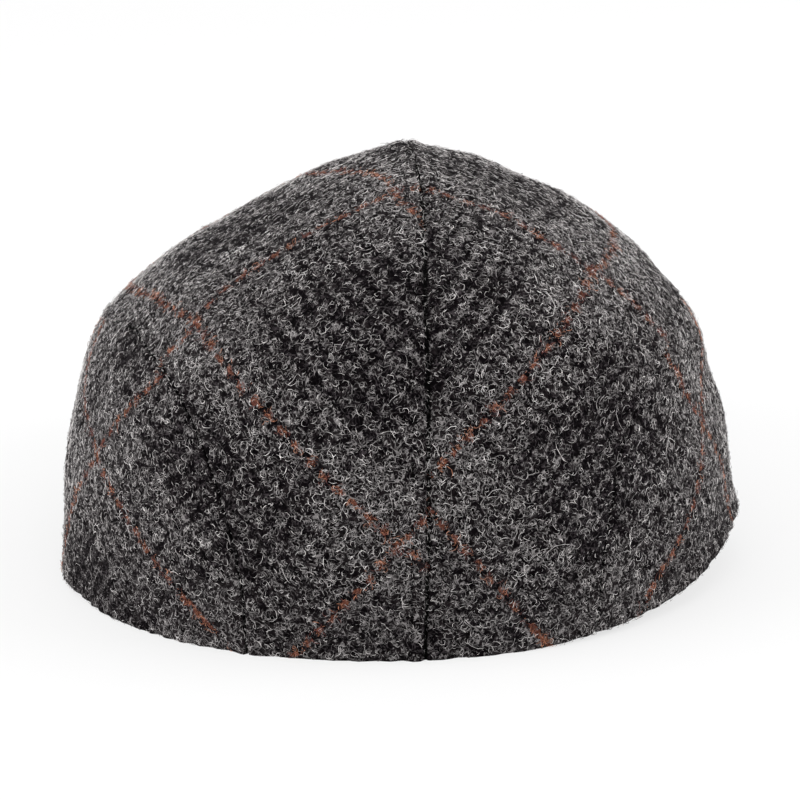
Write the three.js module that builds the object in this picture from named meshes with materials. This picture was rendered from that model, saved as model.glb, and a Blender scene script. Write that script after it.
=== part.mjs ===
// A tweed flat cap: two top halves joined by a centre seam, two side panels and a stiff peak.
// Millimetres, +Z up, the peak towards +Y. The cap rests on its hem at z = 0.
import * as THREE from 'three';

// Driving dimensions.
const CLOTH_THICKNESS = 2.2;
const SEAM_GAP = 0.4;
const BACK_SQUARENESS = 2;
const FRONT_SQUARENESS = 2.3;
const BACK_RISE_POWER = 2;
const FRONT_RISE_POWER = 3.5;

// The cap sits a little lopsided: its right-hand hem stands off the surface.
const HEM_LIFT = 8;
const HEM_LIFT_HALF_WIDTH = 89;
const HEM_LIFT_TOP_Z = 75;
const HEM_LIFT_FRONT = { start_y: 0, end_y: 60 };

// The peak follows the crown's front hem, from one corner angle round the front to the other.
const PEAK = {
  corner_angle: 126,
  full_angle: 172,
  thickness: 4,
  front_overhang: 15,
  corner_overhang: 1.5,
  droop: 0.12,
};

// The head opening's front half is an ellipse that the peak's inner edge follows.
const HEAD_OPENING = { half_width: 84, front_y: 104 };

// Distance from the middle of the head opening forward to the middle of the whole cap.
const CAP_MIDDLE_Y = 22.7;

// The crown's three profiles, level by level from the hem to the ridge of the roof.
const CROWN_LEVELS = [
  { name: 'hem', back_y: -104, back_z: 0, side_x: 89, side_y: -14, side_z: 0, front_y: 138, front_z: 28 },
  { name: 'low', back_y: -107.5, back_z: 26, side_x: 89.5, side_y: -14, side_z: 22, front_y: 139, front_z: 35 },
  { name: 'mid', back_y: -106, back_z: 52, side_x: 86, side_y: -15, side_z: 42.5, front_y: 128, front_z: 48 },
  { name: 'high', back_y: -100, back_z: 75, side_x: 79.5, side_y: -16, side_z: 61.5, front_y: 105, front_z: 62 },
  { name: 'shoulder', back_y: -89, back_z: 91.5, side_x: 67, side_y: -17, side_z: 75.5, front_y: 78, front_z: 76 },
  { name: 'roof', back_y: -74, back_z: 103, side_x: 48.5, side_y: -19, side_z: 92, front_y: 48, front_z: 90 },
  { name: 'crest', back_y: -58, back_z: 111.5, side_x: 23.5, side_y: -23, side_z: 108, front_y: 17, front_z: 104 },
  { name: 'ridge', back_y: -46, back_z: 115.5, side_x: 0, side_y: -27, side_z: 117, front_y: -8, front_z: 114.5 },
];

// Each side seam climbs from the back hem to the shoulder and comes down to the front hem.
// The angle runs from the middle of the back (0) past the side (90) to the front (180).
const SIDE_SEAM = [
  { angle: 30, level: 0 },
  { angle: 33, level: 1.2 },
  { angle: 42, level: 2.4 },
  { angle: 54, level: 3.2 },
  { angle: 78, level: 3.75 },
  { angle: 103, level: 3.25 },
  { angle: 126, level: 2 },
  { angle: 148, level: 0 },
];

// Mesh fineness.
const STEPS_PER_SEAM_ROW = 4;
const BACK_HEM_STEPS = 6;
const FRONT_HEM_STEPS = 5;
const TOP_ROWS = 14;
const SIDE_ROWS = 8;
const PEAK_ROWS = 5;
const ANGLE_STEP = 0.5;
const LEVEL_STEP = 0.05;
const NORMAL_TOP_MARGIN = 0.15;
const TIP_SHARE = 0.01;
const ANGLE_TOLERANCE = 1e-6;

const RIDGE_LEVEL = CROWN_LEVELS.length - 1;
const { clamp, degToRad, lerp, radToDeg, smoothstep } = THREE.MathUtils;

function smoothCurve(points) {
  return new THREE.CatmullRomCurve3(points, false, 'catmullrom', 0.5);
}

const backProfile = smoothCurve(CROWN_LEVELS.map((row) => new THREE.Vector3(0, row.back_y, row.back_z)));
const sideProfile = smoothCurve(CROWN_LEVELS.map((row) => new THREE.Vector3(row.side_x, row.side_y, row.side_z)));
const frontProfile = smoothCurve(CROWN_LEVELS.map((row) => new THREE.Vector3(0, row.front_y, row.front_z)));
const seamCurve = smoothCurve(SIDE_SEAM.map((row) => new THREE.Vector3(row.angle, row.level, 0)));

function hemLift(x, y, z) {
  const across = clamp(x / HEM_LIFT_HALF_WIDTH, 0, 1) ** 2;
  const below = clamp(1 - z / HEM_LIFT_TOP_Z, 0, 1);
  const behind = 1 - smoothstep(y, HEM_LIFT_FRONT.start_y, HEM_LIFT_FRONT.end_y);
  return HEM_LIFT * across * below * behind;
}

// A point of the crown's outer surface. The hand is 1 on the right and -1 on the left.
function crownPoint(angle, level, hand) {
  const share = clamp(level / RIDGE_LEVEL, 0, 1);
  const isBack = angle < 90;
  const flank = sideProfile.getPoint(share);
  const end = (isBack ? backProfile : frontProfile).getPoint(share);
  const squareness = isBack ? BACK_SQUARENESS : FRONT_SQUARENESS;
  const risePower = isBack ? BACK_RISE_POWER : FRONT_RISE_POWER;
  const sine = Math.sin(degToRad(angle));
  const cosine = Math.abs(Math.cos(degToRad(angle)));
  const stretch = (Math.abs(sine) ** squareness + cosine ** squareness) ** (-1 / squareness);
  const along = cosine * stretch;
  const x = flank.x * sine * stretch * hand;
  const y = lerp(flank.y, end.y, along);
  const z = lerp(flank.z, end.z, along ** risePower);
  return new THREE.Vector3(x, y, z + hemLift(x, y, z));
}

function crownNormal(angle, level, hand) {
  const height = Math.min(level, RIDGE_LEVEL - NORMAL_TOP_MARGIN);
  const lower = Math.max(height - LEVEL_STEP, 0);
  const around = crownPoint(angle + ANGLE_STEP, height, hand);
  around.sub(crownPoint(angle - ANGLE_STEP, height, hand));
  const up = crownPoint(angle, height + LEVEL_STEP, hand).sub(crownPoint(angle, lower, hand));
  return around.cross(up).multiplyScalar(hand).normalize();
}

// Towards the ridge the grid's lines fan out, so that they meet it at even steps.
function fannedAngle(angle, share) {
  const even = radToDeg(Math.acos(1 - angle / 90));
  return lerp(angle, even, share * share);
}

// Columns of the crown's grid: along the back hem, over the side seam and along the front hem.
// Each end of the side seam has one more column, where the side panel's tip is cut off.
function seamColumns() {
  const steps = STEPS_PER_SEAM_ROW * (SIDE_SEAM.length - 1);
  const shares = [0, TIP_SHARE];
  for (let step = 1; step < steps; step += 1) shares.push(step / steps);
  shares.push(1 - TIP_SHARE, 1);
  return shares.map((share) => {
    const point = seamCurve.getPoint(share);
    return { angle: point.x, level: Math.max(point.y, 0), onSeam: true };
  });
}

function hemColumns(fromAngle, toAngle, steps) {
  const columns = [];
  for (let step = 0; step < steps; step += 1) {
    columns.push({ angle: lerp(fromAngle, toAngle, step / steps), level: 0, onSeam: false });
  }
  return columns;
}

const SEAM_COLUMNS = seamColumns();
const BACK_HEM_COLUMNS = hemColumns(0, SIDE_SEAM[0].angle, BACK_HEM_STEPS);
const FRONT_HEM_COLUMNS = hemColumns(180, SIDE_SEAM[SIDE_SEAM.length - 1].angle, FRONT_HEM_STEPS).reverse();
const TOP_COLUMNS = [...BACK_HEM_COLUMNS, ...SEAM_COLUMNS, ...FRONT_HEM_COLUMNS];

// Half a seam's gap, measured across the seam in the cloth's own surface.
function seamInset(column, hand) {
  if (!column.onSeam) return new THREE.Vector3();
  const index = SEAM_COLUMNS.indexOf(column);
  const before = SEAM_COLUMNS[Math.max(index - 1, 0)];
  const after = SEAM_COLUMNS[Math.min(index + 1, SEAM_COLUMNS.length - 1)];
  const tangent = crownPoint(after.angle, after.level, hand).sub(crownPoint(before.angle, before.level, hand));
  const upward = crownNormal(column.angle, column.level, hand).cross(tangent).multiplyScalar(hand);
  return upward.normalize().multiplyScalar(SEAM_GAP / 2);
}

// The outer and inner points of the cloth at one place, square-cut at the hem and the centre seam.
function clothPoints(angle, level, hand) {
  const outer = crownPoint(angle, level, hand);
  const normal = crownNormal(angle, level, hand);
  const offCentre = Math.min(angle, 180 - angle);
  if (offCentre < ANGLE_TOLERANCE || level === RIDGE_LEVEL) {
    outer.x = hand * SEAM_GAP / 2;
    normal.x = 0;
  }
  if (level === 0) normal.z = 0;
  const inner = outer.clone().addScaledVector(normal.normalize(), -CLOTH_THICKNESS);
  return { outer, inner };
}

function topPanel(hand) {
  const outer = [];
  const inner = [];
  for (const column of TOP_COLUMNS) {
    const inset = seamInset(column, hand);
    const points = [];
    for (let row = 0; row <= TOP_ROWS; row += 1) {
      const share = row / TOP_ROWS;
      const level = lerp(column.level, RIDGE_LEVEL, share);
      const point = clothPoints(fannedAngle(column.angle, share), level, hand);
      if (row === 0) {
        point.outer.add(inset);
        point.inner.add(inset);
      }
      points.push(point);
    }
    outer.push(points.map((point) => point.outer));
    inner.push(points.map((point) => point.inner));
  }
  return shellGeometry(outer, inner, hand < 0);
}

function sidePanel(hand) {
  const outer = [];
  const inner = [];
  for (const column of SEAM_COLUMNS.slice(1, -1)) {
    const inset = seamInset(column, hand);
    const points = [];
    for (let row = 0; row <= SIDE_ROWS; row += 1) {
      const point = clothPoints(column.angle, lerp(0, column.level, row / SIDE_ROWS), hand);
      if (row === SIDE_ROWS) {
        point.outer.sub(inset);
        point.inner.sub(inset);
      }
      points.push(point);
    }
    outer.push(points.map((point) => point.outer));
    inner.push(points.map((point) => point.inner));
  }
  return shellGeometry(outer, inner, hand < 0);
}

// How far a plan point lies from the head opening's edge, against the given outward direction.
function reachToOpening(point, outward) {
  const scale = new THREE.Vector3(1 / HEAD_OPENING.half_width, 1 / HEAD_OPENING.front_y, 0);
  const start = point.clone().multiply(scale);
  const step = outward.clone().multiply(scale);
  const half = start.dot(step);
  const beyond = start.lengthSq() - 1;
  return (half - Math.sqrt(half * half - step.lengthSq() * beyond)) / step.lengthSq();
}

function peakColumn(angle, hand) {
  const hem = crownPoint(angle, 0, hand);
  const outward = crownNormal(angle, 0, hand).setZ(0).normalize();
  const tuck = reachToOpening(hem, outward);
  const fullness = smoothstep(angle, PEAK.corner_angle, PEAK.full_angle);
  const overhang = lerp(PEAK.corner_overhang, PEAK.front_overhang, fullness);
  const top = [];
  for (let row = 0; row <= PEAK_ROWS; row += 1) {
    const reach = lerp(overhang, -tuck, row / PEAK_ROWS);
    const point = hem.clone().addScaledVector(outward, reach);
    point.z -= SEAM_GAP + PEAK.droop * (reach + CLOTH_THICKNESS);
    top.push(point);
  }
  return top;
}

function peakBoard() {
  const angles = TOP_COLUMNS.map((column) => column.angle).filter((angle) => angle >= PEAK.corner_angle);
  const right = angles.map((angle) => peakColumn(angle, 1));
  const left = angles.slice(0, -1).reverse().map((angle) => peakColumn(angle, -1));
  const top = [...right, ...left];
  const drop = new THREE.Vector3(0, 0, -PEAK.thickness);
  const bottom = top.map((column) => column.map((point) => point.clone().add(drop)));
  return shellGeometry(top, bottom, false);
}

// A closed solid between two grids of points, joined round their rim.
function shellGeometry(outer, inner, isMirrored) {
  const lastColumn = outer.length - 1;
  const lastRow = outer[0].length - 1;
  const points = [...outer.flat(), ...inner.flat()];
  const faces = [];
  const place = (layer, column, row) => (layer * outer.length + column) * outer[0].length + row;
  const out = (column, row) => place(0, column, row);
  const into = (column, row) => place(1, column, row);
  const quad = (a, b, c, d) => {
    if (isMirrored) faces.push(a, c, b, a, d, c);
    else faces.push(a, b, c, a, c, d);
  };
  for (let c = 0; c < lastColumn; c += 1) {
    for (let r = 0; r < lastRow; r += 1) {
      quad(out(c, r), out(c + 1, r), out(c + 1, r + 1), out(c, r + 1));
      quad(into(c, r), into(c, r + 1), into(c + 1, r + 1), into(c + 1, r));
    }
    quad(into(c, 0), into(c + 1, 0), out(c + 1, 0), out(c, 0));
    quad(out(c, lastRow), out(c + 1, lastRow), into(c + 1, lastRow), into(c, lastRow));
  }
  for (let r = 0; r < lastRow; r += 1) {
    quad(out(0, r), out(0, r + 1), into(0, r + 1), into(0, r));
    quad(into(lastColumn, r), into(lastColumn, r + 1), out(lastColumn, r + 1), out(lastColumn, r));
  }
  const geometry = new THREE.BufferGeometry().setFromPoints(points);
  geometry.setIndex(faces);
  geometry.computeVertexNormals();
  return geometry;
}

function clothMaterial(colour) {
  return new THREE.MeshStandardMaterial({ color: colour, roughness: 0.95, metalness: 0 });
}

function addPiece(group, name, geometry, colour) {
  const mesh = new THREE.Mesh(geometry, clothMaterial(colour));
  mesh.name = name;
  group.add(mesh);
}

const TOP_TWEED = 0x4d4a4a;
const SIDE_TWEED = 0x565352;
const PEAK_TWEED = 0x454242;

const cap = new THREE.Group();
for (const { label, hand } of [{ label: 'left', hand: -1 }, { label: 'right', hand: 1 }]) {
  addPiece(cap, `top_${label}`, topPanel(hand), TOP_TWEED);
  addPiece(cap, `side_${label}`, sidePanel(hand), SIDE_TWEED);
}
addPiece(cap, 'peak', peakBoard(), PEAK_TWEED);
cap.position.y = -CAP_MIDDLE_Y;

export default cap;
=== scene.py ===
"""Tweed flat cap: two top halves, two side panels and a peak, with woven cloth and loose wool fibres."""

from collections import namedtuple
import math

import bmesh
import bpy
import numpy as np
from mathutils import Matrix, Vector


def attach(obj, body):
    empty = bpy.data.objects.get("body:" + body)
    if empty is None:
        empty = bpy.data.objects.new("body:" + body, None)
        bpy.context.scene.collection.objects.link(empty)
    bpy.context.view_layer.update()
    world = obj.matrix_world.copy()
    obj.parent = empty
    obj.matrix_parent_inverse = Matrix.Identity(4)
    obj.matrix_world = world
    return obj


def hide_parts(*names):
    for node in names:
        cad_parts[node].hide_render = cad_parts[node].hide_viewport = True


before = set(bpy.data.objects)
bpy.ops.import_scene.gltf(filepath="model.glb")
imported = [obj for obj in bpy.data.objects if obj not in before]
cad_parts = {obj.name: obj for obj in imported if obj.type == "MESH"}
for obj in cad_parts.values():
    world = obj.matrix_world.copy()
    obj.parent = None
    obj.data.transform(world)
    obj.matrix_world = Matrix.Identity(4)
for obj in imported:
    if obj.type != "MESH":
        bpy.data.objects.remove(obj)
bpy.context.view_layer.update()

bl_info = {
    "name": "Flat cap",
    "version": (1, 0, 0),
    "blender": (4, 5, 0),
    "location": "View3D > Sidebar > Flat cap",
    "description": "Models a tweed flat cap around its packed frame",
    "category": "Object",
}

MM = 0.001
BODY = "root"
LEFT, RIGHT = -1, 1
HAND_NAMES = {LEFT: "left", RIGHT: "right"}

# The crown's three profiles in millimetres, level by level from the hem to the ridge of the roof.
LEVEL_COLUMNS = ("back_y", "back_z", "side_x", "side_y", "side_z", "front_y", "front_z")
CROWN_LEVELS = {
    "hem": (-104, 0, 89, -14, 0, 138, 28),
    "low": (-107.5, 26, 89.5, -14, 22, 139, 35),
    "mid": (-106, 52, 86, -15, 42.5, 128, 48),
    "high": (-100, 75, 79.5, -16, 61.5, 105, 62),
    "shoulder": (-89, 91.5, 67, -17, 75.5, 78, 76),
    "roof": (-74, 103, 48.5, -19, 92, 48, 90),
    "crest": (-58, 111.5, 23.5, -23, 108, 17, 104),
    "ridge": (-46, 115.5, 0, -27, 117, -8, 114.5),
}
RIDGE_LEVEL = len(CROWN_LEVELS) - 1
PROFILES = dict(zip(LEVEL_COLUMNS, np.array(list(CROWN_LEVELS.values()), float).T))

# Each side seam: the angle from the middle of the back (0) to the front (180), and the level.
SIDE_SEAM = ((30, 0), (33, 1.2), (42, 2.4), (54, 3.2), (78, 3.75), (103, 3.25), (126, 2), (148, 0))
SEAM_FOOT_ANGLE = SIDE_SEAM[0][0]
SEAM_FRONT_ANGLE = SIDE_SEAM[-1][0]

BACK_SQUARENESS = 2.0
FRONT_SQUARENESS = 2.3
BACK_RISE_POWER = 2.0
FRONT_RISE_POWER = 3.5
CAP_MIDDLE_Y = 22.7

# The cap is soft and a little lopsided. The right-hand hem stands off the surface, and the hem turns out
# in a lip and is twisted on the head's line. The crown leans to the right and swells above the side seams.
# The roof is dented on its left-hand side, full on its right-hand side and puckered beside the centre seam.
# The hem's lift goes in even steps from the back to the side.
# A roof dent is a depth, a place across the roof and a half width.
HALF_WIDTH = 89.0
CROWN_HEIGHT = 117.0
HEM_LIFT = {LEFT: (0.0, 0.0, 0.0, 0.0, 0.3, 0.9, 1.0), RIGHT: (0.0, 0.0, 1.3, 3.4, 7.3, 12.2, 14.3)}
HEM_LIFT_TOP_Z = 75.0
HEM_LIFT_FRONT_Y = (0.0, 60.0)
HEM_TWIST = -2.95
HEM_LIP = {LEFT: 1.3, RIGHT: 3.9}
HEM_LIP_POWER = 2.7
HEM_LIP_TOP_Z = 20.6
CROWN_LEAN = 4.6
CREST_LEAN = 1.7
CREST_LEAN_Z = (85.0, 117.0)
ROOF_LEAN = -0.54
ROOF_LEAN_HALF_WIDTH = 45.0
ROOF_LEAN_Z = (62.0, 92.0, 116.0)
UPPER_SWELL = {LEFT: 3.5, RIGHT: 6.4}
SWELL_HALF_WIDTH = 40.0
UPPER_SWELL_Z = (45.0, 85.0, 95.0, 117.0)
MIDDLE_SWELL = {LEFT: 1.3, RIGHT: -1.2}
MIDDLE_SWELL_Z = 50.0
MIDDLE_SWELL_HALF_HEIGHT = 17.0
ROOF_DENTS = ((2.8, -42.0, 14.0), (-1.0, 19.0, 9.0))
ROOF_DENT_Z = (70.0, 95.0)
RIDGE_PUCKER = 0.8
RIDGE_PUCKER_X = 2.6
RIDGE_PUCKER_HALF_WIDTH = 2.2
RIDGE_PUCKER_Z = (106.0, 115.0)

# The peak under the front hem, from corner to corner.
PEAK_CORNER_ANGLE = 126.0
PEAK_FULL_ANGLE = 172.0
PEAK_THICKNESS = 4.0
PEAK_END_THICKNESS = 1.4
PEAK_TAPER_ANGLE = 16.0
PEAK_ROUNDING = 1.8
PEAK_SHOWN_REACH = 1.5
PEAK_FRONT_OVERHANG = 15.0
PEAK_CORNER_OVERHANG = 1.5
PEAK_DROOP = 0.12
PEAK_GAP = 0.4
OPENING_HALF_WIDTH = 84.0
OPENING_FRONT_Y = 104.0

# Fineness of the cloth meshes, and of the plainer ones that are laid flat for the weave.
TOP_GRID = (150, 76)
SIDE_GRID = (220, 22)
PEAK_GRID = (90, 20)
FLAT_TOP_GRID = (70, 40)
FLAT_SIDE_GRID = (50, 20)
HEM_POINTS = 500
SEAM_POINTS = 400
EDGE_CROWDING = 0.75
HEM_OUTER_ROLL = 0.4
BACK_HEM_SHARE = 0.13
FRONT_HEM_SHARE = 0.86
SIDE_TIP_SHARE = 0.004
CLOTH_MAP = "cloth"
CENTRE_CLEARANCE = 0.36
SIDE_CLEARANCE = 0.26
HEM_FRINGE = 0.4
HEM_FLOOR_GAP = 0.1
FAR_OFF = 50.0

# The cloth's own unevenness: its slow waves as heights, seeds and wavelengths, the bumps along the hem,
# and the puckers and turned allowances beside the seams.
WAVE_SPREAD = (0.7, 1.5)
CLOTH_WAVES = ((0.55, 11, 46.0), (0.22, 23, 17.0))
HEM_BUMP = 0.28
HEM_BUMP_SEED = 59
HEM_BUMP_LENGTH = 4.2
HEM_BUMP_HEIGHT = 1.8
CENTRE_PUCKER_SEED = 31
SIDE_PUCKER_SEED = 47
PUCKER = 0.28
PUCKER_LENGTH = 9.0
PUCKER_REACH = 7.0
ALLOWANCE_RISE = (0.2, 1.4)
ALLOWANCE_FALL = (0.5, 0.9)
THINNEST_CLOTH = 0.5

# The way the cloth was cut: the grain's lean on the top halves, and where the first overcheck yarns lie.
TOP_GRAIN = 40.5
SIDE_GRAIN = 45.0
TOP_OVERCHECK = {LEFT: (21.5, 25.6), RIGHT: (40.4, 26.4)}
SIDE_OVERCHECK = {LEFT: (70.8, -4.7), RIGHT: (69.9, -12.6)}
SIDE_SKEW = {LEFT: (0.0, 0.19), RIGHT: (-0.3, 0.1)}

# How the cloth has slipped out of true in wear: the warp leans over on the roof beyond a certain weft yarn,
# the weft sags there and pulls at the crest, and on the side panels the weft bows around one warp yarn.
ROOF_SLIP = {LEFT: 0.365, RIGHT: 0.27}
ROOF_SLIP_START = {LEFT: (87.5, 0.28), RIGHT: (82.0, 0.86)}
SHOULDER_SLIP = {LEFT: 0.28, RIGHT: 0.0}
SHOULDER_SLIP_WEFT = (118.0, 160.0)
ROOF_SAG = {LEFT: 7.3, RIGHT: 6.0}
ROOF_SAG_WARP = {LEFT: (-5.0, 14.0), RIGHT: (5.0, 45.0)}
ROOF_SAG_WEFT = (45.0, 84.0)
CREST_PULL = {LEFT: 0.21, RIGHT: 0.0}
CREST_PULL_WARP = (40.0, 60.0)
CREST_PULL_WEFT = 87.0
SIDE_BOW = {LEFT: 0.0, RIGHT: 4.4}
SIDE_BOW_WARP = -27.0
SIDE_BOW_HALF_WIDTH = 15.0

# Towards the back hem's tips the cloth is drawn out along the warp,
# so that no further rust yarn falls on them.
DRAWN_TIP_WARP = -45.0
DRAWN_TOP_TIP = {LEFT: 1.0, RIGHT: 0.2}
DRAWN_SIDE_TIP = {LEFT: 0.25, RIGHT: 0.5}

# The bands of the check, in yarns. Each yarn of the twill runs over two and under two, and the dark yarns lie
# in pairs within the same repeat.
TWILL_REPEAT = 4.0
TWILL_FLOAT = 2.0
WARP_REPEAT = 48
WARP_LIGHT = 19
WARP_PAIR_START = 0
WEFT_REPEAT = 66
WEFT_LIGHT = 30
WEFT_PAIR_START = 2

# The layers of soft down on the cloth: lines to the metre, line width, curl, and the patches that break them.
DOWN_LAYERS = ((260.0, 0.02, 1.8, 0), (350.0, 0.024, 1.5, 1), (460.0, 0.028, 1.2, 2))
DOWN_OFFSET = (0.31, 0.17, 0.53)
LINE_CORE = 0.4
LINE_EDGE = 1.2
PATCH_SCALE = 520.0
PATCH_OFFSET = (0.7, 0.2, 0.4)

# The weave's unevenness: how far its yarns wander and tangle, in yarns, and how fine that is.
NOISE_MIDDLE = 0.5
YARN_WANDER = 1.3
YARN_WANDER_SCALE = 190.0
YARN_TANGLE = 2.2
YARN_TANGLE_SCALE = 620.0
MOTTLE_SCALE = 480.0
FIBRE_MOTTLE_SCALE = 700.0
YARN_ROUNDNESS = 0.6
YARN_BUMP = 0.5
DOWN_BUMP = 0.3

# Smooth steps in the shading: where each starts and ends, and the shades before and after it.
# The height step is painted shade: the weave's hollows are darker and the yarns' crowns a little lighter.
YARN_HEIGHT_PAINTED_SHADE = (0.0, 0.9, 0.4, 1.1)
MOTTLE_SHADE = (0.25, 0.75, 0.5, 1.5)
PATCH_SHADE = (0.44, 0.56, 0.05, 1.0)
# The seam and stitch steps are painted shade along the seams' grooves and the second stitching.
SEAM_PAINTED_SHADE = (0.0, 0.3, 0.1, 1.0)
STITCH_PAINTED_SHADE = (0.15, 0.5, 0.45, 1.0)
FIBRE_SHADE = (0.3, 0.7, 0.55, 1.3)

# How a loose fibre runs: the spreads of its length and thickness, its bends, how far it rises, and its root.
FIBRE_LENGTH_SPREAD = 0.42
FIBRE_RADIUS_SPREAD = (0.7, 1.35)
RUST_FIBRE_LENGTH = 0.7
FIBRE_BEND = (0.2, 1.35)
FIBRE_SWAY = 0.2
FULL_BEND_STEP = 0.75
BEND_LIMITS = (0.5, 1.6)
LOOSE_SHARE = 0.1
LOOSE_RISE = (0.35, 0.8)
LYING_RISE = (0.1, 0.42)
TIP_RISE = (-0.1, 1.0)
RISE_ARCH = 0.75
ROOT_DEPTH = 0.1
ROOT_TRIES = 6

# Which yarns carry more of the loose fibres, and how their shades are shared out.
DARK_FIBRE_SHARE = 0.24
DARK_FIBRE_SPREAD = 1.0
CROSSING_DIM = 0.16
RUST_FIBRE_SHARE = 8.0
RUST_FIBRE_SPREAD = 0.42
RUST_FIBRE_REACH = 0.24
BESIDE_RUST_SHARE = 0.3
GREY_SHADES = 4
RUST_SHADES = (0.45,)
RUST_PATCH = 0.3
RUST_PATCH_SEED = 83
RUST_PATCH_LENGTH = 9.0
RUST_PURITY = 0.84

# Along the hem more fibres stand out, and up to a thumb's breadth above it they are darkened by painted
# shade.
HEM_FIBRES = 1.2
HEM_FIBRES_HEIGHT = 1.2
HEM_PAINTED_SHADE = 0.27
HEM_PAINTED_SHADE_HEIGHT = 30.0

# The layers of loose fibres: how many a top half has, the joints of a fibre, its length and lift against the
# usual ones, and the draws at which a fibre on a light or a dark yarn takes the next deeper shade.
FibreLayer = namedtuple("FibreLayer", "count joints length lift light_shades dark_shades")
FIBRE_LAYERS = {
    "short": FibreLayer(15000, 3, 0.42, 0.6, (0.14, 0.64, 0.94), (0.0, 0.06, 0.35)),
    "under": FibreLayer(8000, 4, 0.66, 0.7, (0.14, 0.66, 0.94), (0.0, 0.08, 0.4)),
    "over": FibreLayer(5600, 5, 1.0, 1.0, (0.2, 0.74, 0.97), (0.03, 0.2, 0.56)),
}
TOP_SHARE = 1.0
SIDE_SHARE = 0.45
PEAK_SHARE = 0.06
TOP_SEED = 5
SIDE_SEED = 15
PEAK_SEED = 25
LAYER_SEED_STEP = 100

CAMERA_AZIMUTH = -4.59
CAMERA_ELEVATION = 15.19
CAMERA_ROLL = -1.57
CAMERA_DISTANCE = 1.2
CAMERA_TARGET_MM = (3.7, -CAP_MIDDLE_Y, 40.66)
CAMERA_LENS = 196.6
CAMERA_SENSOR = 36.0
CAMERA_FAR = 20.0

# The floor is a sheet of lit white acrylic: part of its brightness is its own.
WHITE = (1.0, 1.0, 1.0, 1.0)
FLOOR_HALF_SIZE = 30.0
FLOOR_SHADE = 0.2
FLOOR_GLOW = 0.685
WORLD_LIGHT = 1.15
SOFTBOX_SIZE = 1.2
STUDIO_LIGHTS = (
    ("softbox_left", (-1.3, -0.3, 0.45), 19.0),
    ("softbox_right", (1.3, -0.3, 0.45), 19.0),
    ("softbox_top", (0.0, -0.2, 1.7), 2.5),
)


class CapSizes(bpy.types.PropertyGroup):
    """Sizes of the cap's cloth that a user may change."""

    cloth_thickness: bpy.props.FloatProperty(
        name="Cloth thickness", description="Wall of the crown's panels", default=2.2 * MM, unit="LENGTH",
        precision=5)
    groove_depth: bpy.props.FloatProperty(
        name="Seam depth", description="How far the cloth dips into a seam", default=1.3 * MM, unit="LENGTH",
        precision=5)
    groove_width: bpy.props.FloatProperty(
        name="Seam width", description="Half width of the dip along a seam", default=0.45 * MM, unit="LENGTH",
        precision=5)
    allowance_width: bpy.props.FloatProperty(
        name="Seam allowance", description="Width of the turned cloth beside a seam", default=3.8 * MM,
        unit="LENGTH", precision=5)
    allowance_height: bpy.props.FloatProperty(
        name="Allowance height", description="How far the turned cloth stands proud", default=0.35 * MM,
        unit="LENGTH", precision=5)
    stitch_offset: bpy.props.FloatProperty(
        name="Stitch offset", description="Distance of the centre seam's second stitching from it",
        default=3.9 * MM, unit="LENGTH", precision=5)
    yarn_pitch: bpy.props.FloatProperty(
        name="Yarn pitch", description="Distance between neighbouring yarns", default=1.28 * MM,
        unit="LENGTH", precision=5)
    yarn_relief: bpy.props.FloatProperty(
        name="Yarn relief", description="Height of the weave's bump", default=0.45 * MM, unit="LENGTH",
        precision=5)
    fibre_radius: bpy.props.FloatProperty(
        name="Fibre radius", description="Radius of a loose wool fibre", default=0.05415 * MM, unit="LENGTH",
        precision=6)
    fibre_length: bpy.props.FloatProperty(
        name="Fibre length", description="Middling length of a loose wool fibre", default=2.6 * MM,
        unit="LENGTH", precision=5)


class CapColours(bpy.types.PropertyGroup):
    """Colours of the cap's wool that a user may change."""

    grey_wool: bpy.props.FloatVectorProperty(
        name="Grey wool", description="Depths of the light yarns", subtype="COLOR", size=3,
        default=(0.0072, 0.0055, 0.0061))
    dark_wool: bpy.props.FloatVectorProperty(
        name="Dark wool", description="Depths of the charcoal yarns", subtype="COLOR", size=3,
        default=(0.0019, 0.0013, 0.0017))
    rust_wool: bpy.props.FloatVectorProperty(
        name="Rust wool", description="Depths of the overcheck yarns", subtype="COLOR", size=3,
        default=(0.06, 0.021, 0.014))
    light_down: bpy.props.FloatVectorProperty(
        name="Light down", description="Soft down on the light yarns", subtype="COLOR", size=3,
        default=(0.18, 0.169, 0.169))
    dark_down: bpy.props.FloatVectorProperty(
        name="Dark down", description="Soft down on the charcoal yarns", subtype="COLOR", size=3,
        default=(0.036, 0.0305, 0.033))
    rust_down: bpy.props.FloatVectorProperty(
        name="Rust down", description="Soft down on the overcheck yarns", subtype="COLOR", size=3,
        default=(0.2, 0.08, 0.05))
    stray_fibre: bpy.props.FloatVectorProperty(
        name="Stray fibre", description="The palest loose fibres", subtype="COLOR", size=3,
        default=(0.83, 0.8, 0.79))
    pale_fibre: bpy.props.FloatVectorProperty(
        name="Pale fibre", description="The pale loose fibres", subtype="COLOR", size=3,
        default=(0.62, 0.593, 0.585))
    grey_fibre: bpy.props.FloatVectorProperty(
        name="Grey fibre", description="The grey loose fibres", subtype="COLOR", size=3,
        default=(0.32, 0.3, 0.299))
    dim_fibre: bpy.props.FloatVectorProperty(
        name="Dim fibre", description="The darkest loose fibres", subtype="COLOR", size=3,
        default=(0.08, 0.071, 0.0735))
    ember_fibre: bpy.props.FloatVectorProperty(
        name="Ember fibre", description="The bright loose fibres of the overcheck", subtype="COLOR", size=3,
        default=(0.47, 0.205, 0.122))
    rust_fibre: bpy.props.FloatVectorProperty(
        name="Rust fibre", description="The deeper loose fibres of the overcheck", subtype="COLOR", size=3,
        default=(0.17, 0.054, 0.046))


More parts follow.
